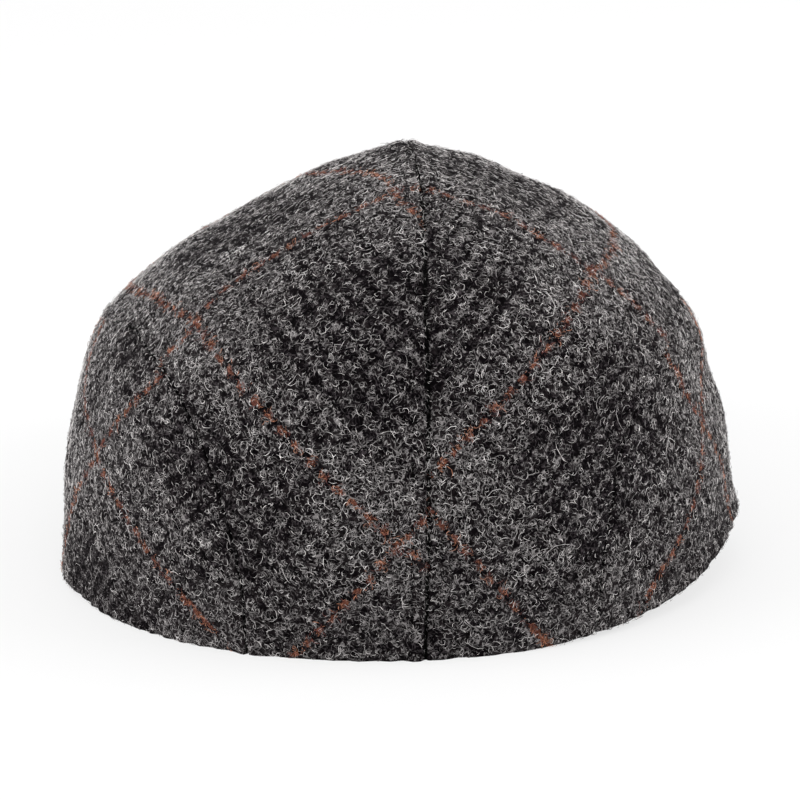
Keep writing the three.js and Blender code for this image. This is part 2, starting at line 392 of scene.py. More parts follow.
def smooth_curve(points, share):
    """Points of a smooth curve through evenly numbered points, for shares from 0 to 1."""
    points = np.asarray(points, float)
    last = len(points) - 1
    ends = np.vstack([2 * points[0] - points[1], points, 2 * points[-1] - points[-2]])
    place = np.clip(share, 0.0, 1.0) * last
    index = np.minimum(place.astype(int), last - 1)
    part = (place - index)[:, None]
    before, here, there, after = (ends[index + step] for step in range(4))
    bend = 2 * before - 5 * here + 4 * there - after
    twist = 3 * here - before - 3 * there + after
    return 0.5 * (2 * here + (there - before) * part + bend * part**2 + twist * part**3)


def ease(value, low, high):
    """A smooth step from 0 at low to 1 at high."""
    share = np.clip((value - low) / (high - low), 0.0, 1.0)
    return share * share * (3 - 2 * share)


def mix(a, b, share):
    return a + (b - a) * share


def unit(vectors):
    return vectors / np.linalg.norm(vectors, axis=-1, keepdims=True)


def profile(names, level):
    table = np.stack([PROFILES[name] for name in names], 1)
    return smooth_curve(table, level / RIDGE_LEVEL).T


def even_crown(angle, level, hand):
    """Points of the crown's outer surface as it was cut, the same on both sides, in millimetres."""
    side_x, side_y, side_z = profile(("side_x", "side_y", "side_z"), level)
    back_y, back_z = profile(("back_y", "back_z"), level)
    front_y, front_z = profile(("front_y", "front_z"), level)
    is_back = angle < 90
    end_y = np.where(is_back, back_y, front_y)
    end_z = np.where(is_back, back_z, front_z)
    squareness = np.where(is_back, BACK_SQUARENESS, FRONT_SQUARENESS)
    rise_power = np.where(is_back, BACK_RISE_POWER, FRONT_RISE_POWER)
    sine = np.sin(np.radians(angle))
    cosine = np.abs(np.cos(np.radians(angle)))
    stretch = (np.abs(sine) ** squareness + cosine**squareness) ** (-1 / squareness)
    along = cosine * stretch
    return side_x * sine * stretch * hand, mix(side_y, end_y, along), mix(side_z, end_z, along**rise_power)


def crown_point(angle, level, hand):
    """Points of the crown's outer surface as it has settled, in millimetres."""
    x, y, z = even_crown(angle, level, hand)
    across = np.clip(x / HALF_WIDTH, -1, 1)
    below = np.clip(1 - z / HEM_LIFT_TOP_Z, 0, 1)
    at_back = 1 - ease(y, *HEM_LIFT_FRONT_Y)
    low, middle, high = ROOF_LEAN_Z
    on_roof = ease(z, low, middle) * (1 - ease(z, middle, high))
    swell = ease(z, *UPPER_SWELL_Z[:2]) * (1 - ease(z, *UPPER_SWELL_Z[2:]))
    middle_swell = np.exp(-(((z - MIDDLE_SWELL_Z) / MIDDLE_SWELL_HALF_HEIGHT) ** 2))
    settled_x = x + CROWN_LEAN * z / CROWN_HEIGHT + CREST_LEAN * ease(z, *CREST_LEAN_Z)
    settled_y = y + HEM_TWIST * across * np.abs(across) * below
    settled_z = z + ROOF_LEAN * on_roof * np.clip(x / ROOF_LEAN_HALF_WIDTH, -1, 1)
    for side in (LEFT, RIGHT):
        outward = np.clip(across * side, 0, 1)
        swelling = UPPER_SWELL[side] * swell + MIDDLE_SWELL[side] * middle_swell
        settled_x = settled_x + side * swelling * np.clip(x * side / SWELL_HALF_WIDTH, 0, 1)
        lift = smooth_curve(np.reshape(HEM_LIFT[side], (-1, 1)), np.arcsin(outward) / (math.pi / 2))[:, 0]
        settled_z = settled_z + lift * below * at_back
        lip = HEM_LIP[side] * outward**HEM_LIP_POWER * np.clip(1 - z / HEM_LIP_TOP_Z, 0, 1) ** 2
        settled_x = settled_x + side * lip
    for depth, middle_x, half_width in ROOF_DENTS:
        from_dent = (x - middle_x) / half_width
        settled_z = settled_z - depth * np.exp(-(from_dent**2)) * ease(z, *ROOF_DENT_Z)
    from_pucker = (x - RIDGE_PUCKER_X) / RIDGE_PUCKER_HALF_WIDTH
    settled_z = settled_z + RIDGE_PUCKER * np.exp(-(from_pucker**2)) * ease(z, *RIDGE_PUCKER_Z)
    return np.stack([settled_x, settled_y - CAP_MIDDLE_Y, settled_z], 1)


def crown_normal(angle, level, hand):
    angle_step, level_step, ridge_margin = 0.4, 0.04, 0.12
    level = np.minimum(level, RIDGE_LEVEL - ridge_margin)
    around = crown_point(angle + angle_step, level, hand) - crown_point(angle - angle_step, level, hand)
    upper = crown_point(angle, level + level_step, hand)
    lower = crown_point(angle, np.maximum(level - level_step, 0), hand)
    return unit(np.cross(around, upper - lower) * np.reshape(hand, (-1, 1)))


def seam_path(share):
    path = smooth_curve(SIDE_SEAM, share)
    return path[:, 0], np.maximum(path[:, 1], 0)


def nearest_on_path(points, path):
    """The nearest of a path's points to each point, and how far off it is."""
    nearest = np.empty(len(points), int)
    gap = np.empty(len(points))
    batch = 4000
    for start in range(0, len(points), batch):
        part = points[start:start + batch]
        gaps = np.linalg.norm(part[:, None, :] - path[None, :, :], axis=2)
        nearest[start:start + batch] = gaps.argmin(1)
        gap[start:start + batch] = gaps.min(1)
    return nearest, gap


def soft_waves(points, seed, wavelength, count=7):
    """A smooth, repeatable unevenness between about -1 and 1."""
    random = np.random.default_rng(seed)
    total = np.zeros(len(points))
    for _ in range(count):
        direction = unit(random.normal(size=3))
        length = wavelength * random.uniform(*WAVE_SPREAD)
        total += np.sin(points @ direction * (2 * math.pi / length) + random.uniform(0, 2 * math.pi))
    return total / math.sqrt(count)


def crowded(count):
    """Shares from 0 to 1 that lie closer together near both ends."""
    even = np.linspace(0, 1, count + 1)
    return mix(even, 0.5 - 0.5 * np.cos(np.pi * even), EDGE_CROWDING)


def top_places(grid):
    """Angles and levels of a top half's grid, its columns from the back seam to the front one."""
    columns, rows = grid
    share = crowded(columns)
    seam_angle, seam_level = seam_path((share - BACK_HEM_SHARE) / (FRONT_HEM_SHARE - BACK_HEM_SHARE))
    is_back = share < BACK_HEM_SHARE
    is_front = share > FRONT_HEM_SHARE
    front_share = (share - FRONT_HEM_SHARE) / (1 - FRONT_HEM_SHARE)
    angle = np.where(is_back, SEAM_FOOT_ANGLE * share / BACK_HEM_SHARE, seam_angle)
    angle = np.where(is_front, mix(SEAM_FRONT_ANGLE, 180.0, front_share), angle)
    lowest = np.where(is_back | is_front, 0.0, seam_level)
    up = crowded(rows)
    fanned = np.degrees(np.arccos(np.clip(1 - angle / 90, -1, 1)))
    angles = mix(angle[:, None], fanned[:, None], up[None, :] ** 2)
    levels = mix(lowest[:, None], float(RIDGE_LEVEL), up[None, :])
    return angles, levels


def side_places(grid):
    """Angles and levels of a side panel's grid, its columns from the back tip to the front one."""
    columns, rows = grid
    share = np.linspace(SIDE_TIP_SHARE, 1 - SIDE_TIP_SHARE, columns + 1)
    angle, level = seam_path(share)
    up = crowded(rows)
    return np.repeat(angle[:, None], rows + 1, 1), level[:, None] * up[None, :]


def hem_roll(off_hem, radius):
    """How far each wall turns in to make a half-round hem."""
    height = np.clip(off_hem, 0, radius)
    flat_edge = 0.94
    return radius - np.sqrt(radius**2 - (radius - height) ** 2 * flat_edge)


class ClothPanel:
    """The two walls of one crown panel, as grids of points in millimetres."""

    def __init__(self, hand, places, cloth, sizes):
        angles, levels = places
        self.cloth = cloth
        self.shape = angles.shape
        self.mirrored = hand == LEFT
        is_top = bool((levels >= RIDGE_LEVEL).any())
        angle = angles.ravel()
        level = levels.ravel()
        around = np.linspace(0, 180, HEM_POINTS)
        self.hem = crown_point(around, np.zeros_like(around), hand)
        seam_angle, seam_level = seam_path(np.linspace(0, 1, SEAM_POINTS))
        side_seam = crown_point(seam_angle, seam_level, hand)
        self.plain = crown_point(angle, level, hand)
        self.shows = np.ones(len(self.plain))
        self.normals = crown_normal(angle, level, hand)
        on_centre = (np.minimum(angle, 180 - angle) < 1e-6) | (level >= RIDGE_LEVEL)
        self.seams = [(side_seam, SIDE_CLEARANCE)]
        if is_top:
            grid = self.plain.reshape(*self.shape, 3)
            centre_seam = np.concatenate([grid[0], grid[1:-1, -1], grid[-1, ::-1]])
            self.seams.append((centre_seam, CENTRE_CLEARANCE))
        off_side = nearest_on_path(self.plain, side_seam)[1]
        off_centre = np.abs(even_crown(angle, level, hand)[0])
        is_stitched = is_top and hand == LEFT
        self.seam_gap = np.minimum(off_centre - CENTRE_CLEARANCE, off_side - SIDE_CLEARANCE)
        off_stitch = np.abs(off_centre - sizes.stitch_offset / MM)
        self.stitch_gap = off_stitch if is_stitched else off_centre + FAR_OFF
        self.normals[on_centre, 0] = 0
        self.normals[level <= 0, 2] = 0
        self.normals = unit(self.normals)
        thickness = sizes.cloth_thickness / MM
        self.hem_gap = nearest_on_path(self.plain, self.hem)[1]
        roll = hem_roll(self.hem_gap, thickness / 2)
        outer_roll = roll * HEM_OUTER_ROLL
        centre = (off_centre, is_stitched, CENTRE_PUCKER_SEED)
        side = (off_side, is_top, SIDE_PUCKER_SEED)
        relief = self.relief(sizes, (centre, side))
        self.outer = self.plain + self.normals * (relief - outer_roll)[:, None]
        self.inner = self.plain - self.normals * (thickness + outer_roll - 2 * roll)[:, None]

    def relief(self, sizes, seams):
        """Seams, puckers and the cloth's own soft unevenness, as a height over the plain crown."""
        depth = sizes.groove_depth / MM
        width = sizes.groove_width / MM
        allowance = sizes.allowance_width / MM
        height = sizes.allowance_height / MM
        relief = np.zeros(len(self.plain))
        for amount, seed, wavelength in CLOTH_WAVES:
            relief += amount * soft_waves(self.plain, seed, wavelength)
        bumps = soft_waves(self.plain, HEM_BUMP_SEED, HEM_BUMP_LENGTH)
        relief += HEM_BUMP * bumps * np.exp(-((self.hem_gap / HEM_BUMP_HEIGHT) ** 2))
        for gap, has_allowance, seed in seams:
            relief += soft_waves(self.plain, seed, PUCKER_LENGTH) * PUCKER * np.exp(-gap / PUCKER_REACH)
            relief -= depth * np.exp(-((gap / width) ** 2))
            if has_allowance:
                before, beyond = ALLOWANCE_FALL
                fall = ease(gap, allowance - before, allowance + beyond)
                relief += height * ease(gap, *ALLOWANCE_RISE) * (1 - fall)
        return np.maximum(relief, THINNEST_CLOTH - sizes.cloth_thickness / MM)

    def settle(self, path, random):
        """The fibres' lines, drawn back where they would bridge a seam or hang far below the hem."""
        joints = path.reshape(-1, 3)
        roots = np.repeat(path[:, 0], path.shape[1], 0)
        for seam, clearance in self.seams:
            run = unit(np.gradient(seam, axis=0))
            foot, _ = nearest_on_path(joints, seam)
            homeward = roots - seam[foot]
            homeward = unit(homeward - run[foot] * (homeward * run[foot]).sum(1)[:, None])
            inside = ((joints - seam[foot]) * homeward).sum(1)
            joints = joints + homeward * np.maximum(clearance - inside, 0)[:, None]
        foot, _ = nearest_on_path(joints[:, :2], self.hem[:, :2])
        lowest = np.maximum(self.hem[foot, 2] - HEM_FRINGE * random.random(len(joints)), HEM_FLOOR_GAP)
        joints[:, 2] = np.maximum(joints[:, 2], lowest)
        return joints.reshape(path.shape)


def grid_bmesh(shape):
    """A flat grid whose vertices know their place in a column-by-column list."""
    columns, rows = shape
    bm = bmesh.new()
    bmesh.ops.create_grid(bm, x_segments=columns - 1, y_segments=rows - 1, size=0.5)
    place = bm.verts.layers.int.new("place")
    for vert in bm.verts:
        column = round((vert.co.x + 0.5) * (columns - 1))
        row = round((vert.co.y + 0.5) * (rows - 1))
        vert[place] = column * rows + row
    return bm, place


def link_object(name, data):
    thing = bpy.data.objects.new(name, data)
    bpy.context.scene.collection.objects.link(thing)
    return thing


def add_object(name, bm):
    mesh = bpy.data.meshes.new(name)
    bm.to_mesh(mesh)
    bm.free()
    return link_object(name, mesh)


def flatten(places, hand):
    """A panel laid flat with as little stretch as possible: plan points in millimetres, as a grid."""
    angles, levels = places
    points = crown_point(angles.ravel(), levels.ravel(), hand)
    shape = angles.shape
    bm, place = grid_bmesh(shape)
    for vert in bm.verts:
        vert.co = points[vert[place]] * MM
    order = np.array([vert[place] for vert in bm.verts])
    piece = add_object("flat_pattern", bm)
    bpy.context.view_layer.objects.active = piece
    piece.select_set(True)
    bpy.ops.object.mode_set(mode="EDIT")
    bpy.ops.mesh.select_all(action="SELECT")
    bpy.ops.uv.unwrap(method="MINIMUM_STRETCH", margin=0.0)
    bpy.ops.object.mode_set(mode="OBJECT")
    mesh = piece.data
    corners = np.empty(len(mesh.loops) * 2, np.float32)
    mesh.uv_layers.active.uv.foreach_get("vector", corners)
    corner_verts = np.empty(len(mesh.loops), np.int32)
    mesh.loops.foreach_get("vertex_index", corner_verts)
    flat = np.empty((len(points), 2))
    flat[order[corner_verts]] = corners.reshape(-1, 2)
    bpy.data.objects.remove(piece)
    bpy.data.meshes.remove(mesh)
    flat = flat.reshape(*shape, 2)
    solid = points.reshape(*shape, 3)
    true_length = np.linalg.norm(np.diff(solid, axis=0), axis=2).sum()
    flat_length = np.linalg.norm(np.diff(flat, axis=0), axis=2).sum()
    return flat * (true_length / flat_length)


def resample(grid, shape):
    """A grid of flat points at another fineness."""
    for axis, count in enumerate(shape):
        old = np.linspace(0, 1, grid.shape[axis])
        new = np.linspace(0, 1, count)
        grid = np.apply_along_axis(lambda line: np.interp(new, old, line), axis, grid)
    return grid


def squared_up(flat, start, end, inside):
    """The flat points as (across, up): up runs from start to end, and inside lies on the across side."""
    up = unit(end - start)
    across = np.array((up[1], -up[0]))
    if (inside - start) @ across < 0:
        across = -across
    moved = flat - start
    return moved @ across, moved @ up


def drawn_tip(warp, share):
    """Warp places that go on at a share of their pace towards the back hem's tips."""
    return np.maximum(warp, DRAWN_TIP_WARP) + share * np.minimum(warp - DRAWN_TIP_WARP, 0)


def top_cloth(hand, shape):
    """Warp and weft places of a top half's points, cut on the bias from the back seam."""
    flat = flatten(top_places(FLAT_TOP_GRID), hand)
    seam = flat[0]
    straight_end = seam[len(seam) * 2 // 5]
    across, up = squared_up(flat, seam[0], straight_end, flat.mean((0, 1)))
    grain = math.radians(TOP_GRAIN)
    warp = up * math.cos(grain) - across * math.sin(grain)
    weft = up * math.sin(grain) + across * math.cos(grain)
    warp_start, weft_start = TOP_OVERCHECK[hand]
    warp = drawn_tip(warp - warp_start, DRAWN_TOP_TIP[hand])
    weft = weft - weft_start
    slip_start, slip_lean = ROOF_SLIP_START[hand]
    slip = ROOF_SLIP[hand] * np.maximum(weft - slip_start - slip_lean * np.maximum(warp, 0), 0)
    slip_from, slip_to = SHOULDER_SLIP_WEFT
    slip = slip + SHOULDER_SLIP[hand] * (np.clip(weft, slip_from, slip_to) - slip_from)
    sag = ROOF_SAG[hand] * ease(warp, *ROOF_SAG_WARP[hand]) * ease(weft, *ROOF_SAG_WEFT)
    pull = CREST_PULL[hand] * np.maximum(CREST_PULL_WEFT - weft, 0) * ease(warp, *CREST_PULL_WARP)
    return resample(np.stack([warp + slip - pull, weft - sag], -1), shape).reshape(-1, 2)


def side_cloth(hand, shape):
    """Warp and weft places of a side panel's points, cut on the bias from its hem."""
    flat = flatten(side_places(FLAT_SIDE_GRID), hand)
    hem = flat[:, 0]
    straight_end = hem[len(hem) * 5 // 8]
    up, along = squared_up(flat, hem[0], straight_end, flat[len(hem) // 2, -1])
    grain = math.radians(SIDE_GRAIN)
    warp = along * math.cos(grain) + up * math.sin(grain)
    weft = up * math.cos(grain) - along * math.sin(grain)
    warp_skew, weft_skew = SIDE_SKEW[hand]
    warp_start, weft_start = SIDE_OVERCHECK[hand]
    skewed_warp = drawn_tip(warp + warp_skew * weft - warp_start, DRAWN_SIDE_TIP[hand])
    skewed_weft = weft + weft_skew * warp - weft_start
    from_bow = (skewed_warp - SIDE_BOW_WARP) / SIDE_BOW_HALF_WIDTH
    bow = SIDE_BOW[hand] * np.exp(-(from_bow**2))
    return resample(np.stack([skewed_warp, skewed_weft + bow], -1), shape).reshape(-1, 2)


def shell_object(name, panel):
    """A closed wall between a panel's two grids of points, with the cloth's own map on it."""
    bm, place = grid_bmesh(panel.shape)
    cloth_map = bm.loops.layers.uv.new(CLOTH_MAP)
    seam_gap = bm.verts.layers.float.new("seam_gap")
    stitch_gap = bm.verts.layers.float.new("stitch_gap")
    if panel.mirrored:
        bmesh.ops.reverse_faces(bm, faces=bm.faces[:])
    for vert in bm.verts:
        vert.co.z = 0.0
        vert[seam_gap] = panel.seam_gap[vert[place]]
        vert[stitch_gap] = panel.stitch_gap[vert[place]]
    for face in bm.faces:
        face.smooth = True
        for loop in face.loops:
            loop[cloth_map].uv = panel.cloth[loop.vert[place]] * MM
    bm.normal_update()
    flat_wall = 0.1
    bmesh.ops.solidify(bm, geom=bm.faces[:], thickness=flat_wall)
    for vert in bm.verts:
        wall = panel.outer if abs(vert.co.z) < flat_wall / 2 else panel.inner
        vert.co = wall[vert[place]] * MM
    bm.normal_update()
    if bm.calc_volume(signed=True) < 0:
        bmesh.ops.reverse_faces(bm, faces=bm.faces[:])
    return add_object(name, bm)


class PeakPanel:
    """The top and bottom of the peak, from its outer edge in to the head opening, in millimetres."""

    mirrored = False

    def __init__(self, sizes):
        columns, rows = PEAK_GRID
        turn = np.linspace(PEAK_CORNER_ANGLE, 360 - PEAK_CORNER_ANGLE, columns + 1)
        hand = np.where(turn <= 180, RIGHT, LEFT)
        angle = np.where(turn <= 180, turn, 360 - turn)
        level = np.zeros_like(angle)
        self.hem = crown_point(angle, level, hand)
        self.outward = crown_normal(angle, level, hand)
        self.outward[:, 2] = 0
        self.outward = unit(self.outward)
        fullness = ease(angle, PEAK_CORNER_ANGLE, PEAK_FULL_ANGLE)
        overhang = mix(PEAK_CORNER_OVERHANG, PEAK_FRONT_OVERHANG, fullness)[:, None]
        tuck = self.tuck()[:, None]
        reach = mix(overhang, -tuck, crowded(rows)[None, :])
        self.shape = reach.shape
        board = self.hem[:, None, :] + self.outward[:, None, :] * reach[:, :, None]
        taper = ease(angle, PEAK_CORNER_ANGLE, PEAK_CORNER_ANGLE + PEAK_TAPER_ANGLE)[:, None]
        half = mix(PEAK_END_THICKNESS, PEAK_THICKNESS, taper) / 2
        rounding = half * PEAK_ROUNDING / PEAK_THICKNESS * 2
        edge = np.clip(np.minimum(overhang - reach, tuck + reach), 0, rounding)
        fall = rounding - np.sqrt(np.maximum(rounding**2 - (rounding - edge) ** 2, 0))
        droop = PEAK_GAP + PEAK_DROOP * (reach + sizes.cloth_thickness / MM) + half
        upward = np.array((0.0, 0.0, 1.0))
        self.outer = (board - upward * (droop - half + fall)[:, :, None]).reshape(-1, 3)
        self.inner = (board - upward * (droop + half - fall)[:, :, None]).reshape(-1, 3)
        grid = self.outer.reshape(*self.shape, 3)
        normals = np.cross(np.gradient(grid, axis=1), np.gradient(grid, axis=0))
        self.normals = unit(normals * np.sign(normals[..., 2].mean())).reshape(-1, 3)
        self.shows = (reach > PEAK_SHOWN_REACH).astype(float).ravel()
        across, along = self.outer[:, 0], self.outer[:, 1]
        grain = math.radians(SIDE_GRAIN)
        warp = across * math.cos(grain) + along * math.sin(grain)
        weft = along * math.cos(grain) - across * math.sin(grain)
        self.cloth = np.stack([warp, weft], -1)
        self.seam_gap = np.full(len(self.outer), FAR_OFF)
        self.stitch_gap = self.seam_gap
        self.hem_gap = self.seam_gap

    def tuck(self):
        """How far in from the hem the head opening's edge lies, along each line of the board."""
        scale = np.array((1 / OPENING_HALF_WIDTH, 1 / OPENING_FRONT_Y))
        start = (self.hem[:, :2] + np.array((0, CAP_MIDDLE_Y))) * scale
        step = self.outward[:, :2] * scale
        half = (start * step).sum(1)
        beyond = (start**2).sum(1) - 1
        square = (step**2).sum(1)
        return (half - np.sqrt(half**2 - square * beyond)) / square

    def settle(self, path, random):
        """The fibres' lines as they are: no seam crosses the peak."""
        return path


def carry(piece, slot, *nodes):
    """Puts a finished piece on the cap's body, in place of its plain solids. The slot argument is not used.
    """
    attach(piece, BODY)
    if nodes:
        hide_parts(*nodes)


class NodeDesk:
    """Lays out the nodes of one material."""

    def __init__(self, name):
        self.material = bpy.data.materials.new(name)
        self.material.use_nodes = True
        self.tree = self.material.node_tree
        self.tree.nodes.clear()

    def node(self, kind, inputs=(), **settings):
        node = self.tree.nodes.new(kind)
        for name, value in settings.items():
            setattr(node, name, value)
        for name, value in dict(inputs).items():
            if isinstance(value, bpy.types.NodeSocket):
                self.tree.links.new(value, node.inputs[name])
            else:
                node.inputs[name].default_value = value
        return node

    def math(self, operation, *values, clamp=False):
        return self.node("ShaderNodeMath", enumerate(values), operation=operation, use_clamp=clamp).outputs[0]

    def vector(self, operation, *values):
        return self.node("ShaderNodeVectorMath", enumerate(values), operation=operation).outputs[0]

    def scaled(self, vector, amount):
        return self.node("ShaderNodeVectorMath", {0: vector, "Scale": amount}, operation="SCALE").outputs[0]

    def step(self, value, low, high, to_low=0.0, to_high=1.0):
        inputs = enumerate((value, low, high, to_low, to_high))
        return self.node("ShaderNodeMapRange", inputs, interpolation_type="SMOOTHSTEP").outputs[0]

    def blend(self, share, first, second, mode="MIX"):
        inputs = {0: share, 6: first, 7: second}
        return self.node("ShaderNodeMix", inputs, data_type="RGBA", blend_type=mode).outputs[2]

    def lerp(self, share, first, second):
        return self.node("ShaderNodeMix", {0: share, 2: first, 3: second}, data_type="FLOAT").outputs[0]

    def noise(self, vector, scale, detail=0.0, distortion=0.0, offset=(0.0, 0.0, 0.0)):
        shifted = self.vector("ADD", vector, offset)
        inputs = {"Vector": shifted, "Scale": scale, "Detail": detail, "Distortion": distortion}
        return self.node("ShaderNodeTexNoise", inputs)

    def grey(self, value):
        return self.node("ShaderNodeCombineColor", {"Red": value, "Green": value, "Blue": value}).outputs[0]

    def finish(self, shader):
        output = self.tree.nodes.new("ShaderNodeOutputMaterial")
        self.tree.links.new(shader.outputs[0], output.inputs["Surface"])
        return self.material


def opaque(colour):
    return (*colour, 1.0)


def yarn_colours(desk, index, repeat, light, pair_start):
    """Whether a yarn is rust and whether it is dark, from its number: dark pairs fill the dark bands."""
    place = desk.math("FLOORED_MODULO", index, float(repeat))
    rust = desk.math("LESS_THAN", place, 1.0)
    from_middle = desk.math("ABSOLUTE", desk.math("SUBTRACT", place, repeat / 2))
    in_dark_band = desk.math("LESS_THAN", from_middle, (repeat - light) / 2)
    pair = desk.math("FLOORED_MODULO", desk.math("ADD", index, float(pair_start)), TWILL_REPEAT)
    return rust, desk.math("MULTIPLY", in_dark_band, desk.math("LESS_THAN", pair, TWILL_FLOAT))


def fibre_lines(desk, vector, scale, width, distortion, offset):
    """Thin curly lines, like fibres lying on the cloth: the level lines of a noise."""
    noise = desk.noise(vector, scale, detail=1.0, distortion=distortion, offset=offset).outputs[0]
    off_line = desk.math("ABSOLUTE", desk.math("SUBTRACT", noise, NOISE_MIDDLE))
    return desk.step(off_line, width * LINE_CORE, width * LINE_EDGE, 1.0, 0.0)


def yarn_heights(desk, across_warp, across_weft):
    """Which yarn of a two-and-two twill lies on top, and how high it stands there."""
    warp_index = desk.math("FLOOR", across_warp)
    weft_index = desk.math("FLOOR", across_weft)
    warp_part = desk.math("SUBTRACT", across_warp, warp_index)
    weft_part = desk.math("SUBTRACT", across_weft, weft_index)
    warp_run = desk.math("FLOORED_MODULO", desk.math("ADD", warp_index, across_weft), TWILL_REPEAT)
    weft_run = desk.math("FLOORED_MODULO", desk.math("ADD", weft_index, across_warp), TWILL_REPEAT)
    warp_on_top = desk.math("LESS_THAN", warp_run, TWILL_FLOAT)
    quarter_turn = math.pi / 2
    weft_top_run = desk.math("SUBTRACT", weft_run, TWILL_FLOAT)
    warp_arch = desk.math("SINE", desk.math("MULTIPLY", warp_run, quarter_turn))
    weft_arch = desk.math("SINE", desk.math("MULTIPLY", weft_top_run, quarter_turn))
    warp_round = desk.math("MULTIPLY", warp_part, desk.math("SUBTRACT", 1.0, warp_part))
    weft_round = desk.math("MULTIPLY", weft_part, desk.math("SUBTRACT", 1.0, weft_part))
    to_full = 4.0
    warp_height = desk.math("MULTIPLY", desk.math("MULTIPLY", warp_round, to_full), warp_arch, clamp=True)
    weft_height = desk.math("MULTIPLY", desk.math("MULTIPLY", weft_round, to_full), weft_arch, clamp=True)
    height = desk.math("POWER", desk.lerp(warp_on_top, weft_height, warp_height), YARN_ROUNDNESS)
    return height, warp_on_top, warp_index, weft_index


def tweed_material(name, sizes, colours):
    """Two-and-two twill in grey and charcoal bands with a rust overcheck, under a net of wool fibres."""
    desk = NodeDesk(name)
    place = desk.node("ShaderNodeTexCoord").outputs["Object"]
    cloth = desk.node("ShaderNodeUVMap", uv_map=CLOTH_MAP).outputs[0]
    yarns = desk.scaled(cloth, 1 / sizes.yarn_pitch)
    middle = [NOISE_MIDDLE] * 3
    strays = ((YARN_WANDER, YARN_WANDER_SCALE, 1.0), (YARN_TANGLE, YARN_TANGLE_SCALE, 2.0))
    for amount, scale, detail in strays:
        stray = desk.vector("SUBTRACT", desk.noise(place, scale, detail).outputs["Color"], middle)
        yarns = desk.vector("ADD", yarns, desk.scaled(stray, amount))
    split = desk.node("ShaderNodeSeparateXYZ", {"Vector": yarns})
    height, warp_on_top, warp_index, weft_index = yarn_heights(desk, split.outputs[0], split.outputs[1])

    warp_rust, warp_dark = yarn_colours(desk, warp_index, WARP_REPEAT, WARP_LIGHT, WARP_PAIR_START)
    weft_rust, weft_dark = yarn_colours(desk, weft_index, WEFT_REPEAT, WEFT_LIGHT, WEFT_PAIR_START)
    dark = desk.lerp(warp_on_top, weft_dark, warp_dark)
    rust = desk.lerp(warp_on_top, weft_rust, warp_rust)

    depths = desk.blend(dark, opaque(colours.grey_wool), opaque(colours.dark_wool))
    depths = desk.blend(rust, depths, opaque(colours.rust_wool))
    mottle = desk.step(desk.noise(place, MOTTLE_SCALE, detail=2.0).outputs[0], *MOTTLE_SHADE)
    # Painted shade by the weave's height, darker in its hollows and lighter on the crowns, times the wool's
    # own mottle.
    shade = desk.math("MULTIPLY", desk.step(height, *YARN_HEIGHT_PAINTED_SHADE), mottle)
    depths = desk.blend(1.0, depths, desk.grey(shade), "MULTIPLY")

    patches = desk.noise(place, PATCH_SCALE, detail=1.0, offset=PATCH_OFFSET).outputs["Color"]
    gates = desk.node("ShaderNodeSeparateColor", {"Color": patches})
    lines = 0.0
    for layer, (scale, width, distortion, gate) in enumerate(DOWN_LAYERS):
        offset = [part * layer for part in DOWN_OFFSET]
        layer_lines = fibre_lines(desk, place, scale, width, distortion, offset)
        strength = desk.step(gates.outputs[gate], *PATCH_SHADE)
        lines = desk.math("MAXIMUM", lines, desk.math("MULTIPLY", layer_lines, strength))

    down = desk.blend(dark, opaque(colours.light_down), opaque(colours.dark_down))
    down = desk.blend(rust, down, opaque(colours.rust_down))
    colour = desk.blend(lines, depths, down)
    # Painted shade darkens the colour along the seams' grooves and along the second stitching.
    seam_gap = desk.node("ShaderNodeAttribute", attribute_name="seam_gap").outputs["Fac"]
    stitch_gap = desk.node("ShaderNodeAttribute", attribute_name="stitch_gap").outputs["Fac"]
    seam_painted_shade = desk.step(seam_gap, *SEAM_PAINTED_SHADE)
    stitch_painted_shade = desk.step(stitch_gap, *STITCH_PAINTED_SHADE)
    seams = desk.grey(desk.math("MULTIPLY", seam_painted_shade, stitch_painted_shade))
    colour = desk.blend(1.0, colour, seams, "MULTIPLY")

    yarn_bump = desk.math("MULTIPLY", height, YARN_BUMP)
    relief = desk.math("ADD", yarn_bump, desk.math("MULTIPLY", lines, DOWN_BUMP))
    bump = desk.node("ShaderNodeBump", {"Height": relief, "Distance": sizes.yarn_relief, "Strength": 1.0})
    shader = desk.node("ShaderNodeBsdfPrincipled", {
        "Base Color": colour, "Normal": bump.outputs[0], "Roughness": 0.95, "Specular IOR Level": 0.02,
        "Sheen Weight": 0.01, "Sheen Roughness": 0.4, "Sheen Tint": (0.8, 0.78, 0.76, 1.0)})
    return desk.finish(shader)


def fibre_material(name, colour):
    """One wool shade, a little uneven from fibre to fibre."""
    desk = NodeDesk(name)
    place = desk.node("ShaderNodeTexCoord").outputs["Object"]
    uneven = desk.noise(place, FIBRE_MOTTLE_SCALE, detail=1.0).outputs[0]
    shade = desk.grey(desk.step(uneven, *FIBRE_SHADE))
    shader = desk.node("ShaderNodeBsdfPrincipled", {
        "Base Color": desk.blend(1.0, opaque(colour), shade, "MULTIPLY"), "Roughness": 0.75,
        "Specular IOR Level": 0.2, "Sheen Weight": 0.05})
    return desk.finish(shader)


def banded(index, repeat, light, pair_start):
    """Which yarns are dark and which lie in a dark band, as the weave's own nodes have them."""
    in_dark_band = np.abs(np.mod(index, repeat) - repeat / 2) < (repeat - light) / 2
    return in_dark_band & (np.mod(index + pair_start, TWILL_REPEAT) < TWILL_FLOAT), in_dark_band


def dark_on_top(cloth, pitch):
    """Whether the yarn on top is dark and whether dark bands cross, at places in millimetres."""
    across_warp, across_weft = cloth.T / pitch
    warp_index = np.floor(across_warp)
    warp_on_top = np.mod(warp_index + across_weft, TWILL_REPEAT) < TWILL_FLOAT
    warp_dark, warp_band = banded(warp_index, WARP_REPEAT, WARP_LIGHT, WARP_PAIR_START)
    weft_dark, weft_band = banded(np.floor(across_weft), WEFT_REPEAT, WEFT_LIGHT, WEFT_PAIR_START)
    return np.where(warp_on_top, warp_dark, weft_dark), warp_band & weft_band


